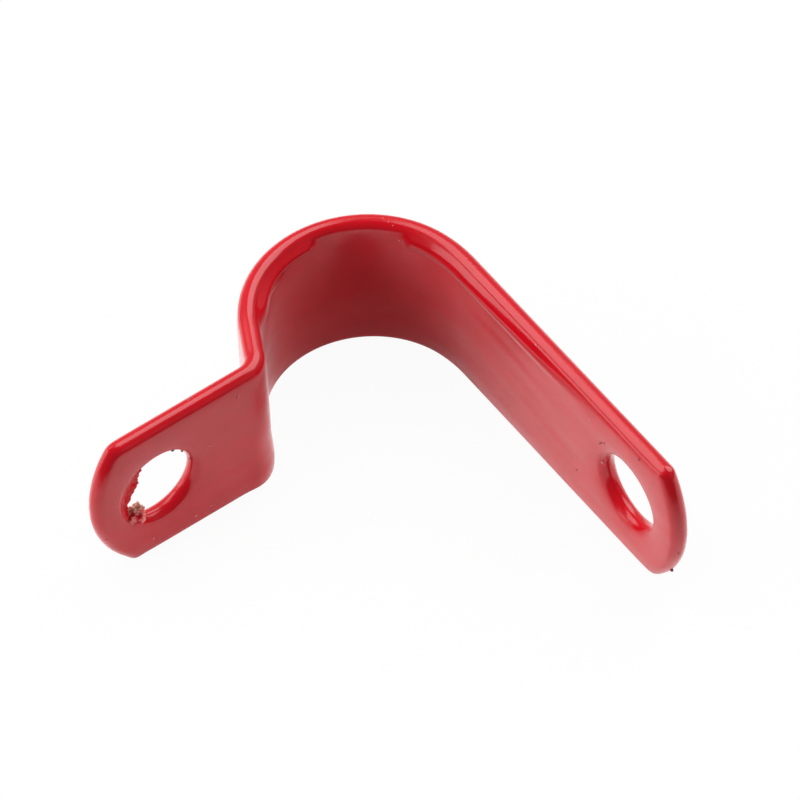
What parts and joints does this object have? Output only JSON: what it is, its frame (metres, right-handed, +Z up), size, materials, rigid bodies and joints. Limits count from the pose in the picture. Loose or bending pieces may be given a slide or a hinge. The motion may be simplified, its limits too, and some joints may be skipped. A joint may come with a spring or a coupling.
{
  "type": "cable clip",
  "caption": "Open P-shaped cable clip: a coated metal strip with a short screw tab, a tight neck, an open loop for the cable and a long screw leg that closes round it.",
  "frame": {"origin": "on the cable axis at the centre of the loop's inner round, at the middle of the strip's width", "axes": "+Z up along the cable axis and across the strip's width; +X from the tab towards the leg; +Y towards the closed back of the loop"},
  "size_m": [0.0331, 0.0217, 0.01],
  "materials": {
    "red_coating": "glossy red dipped coating, drawn round over every edge, torn at the tab's hole"
  },
  "bodies": {
    "root": {"clip_strip": "red_coating"}
  },
  "joints": []
}
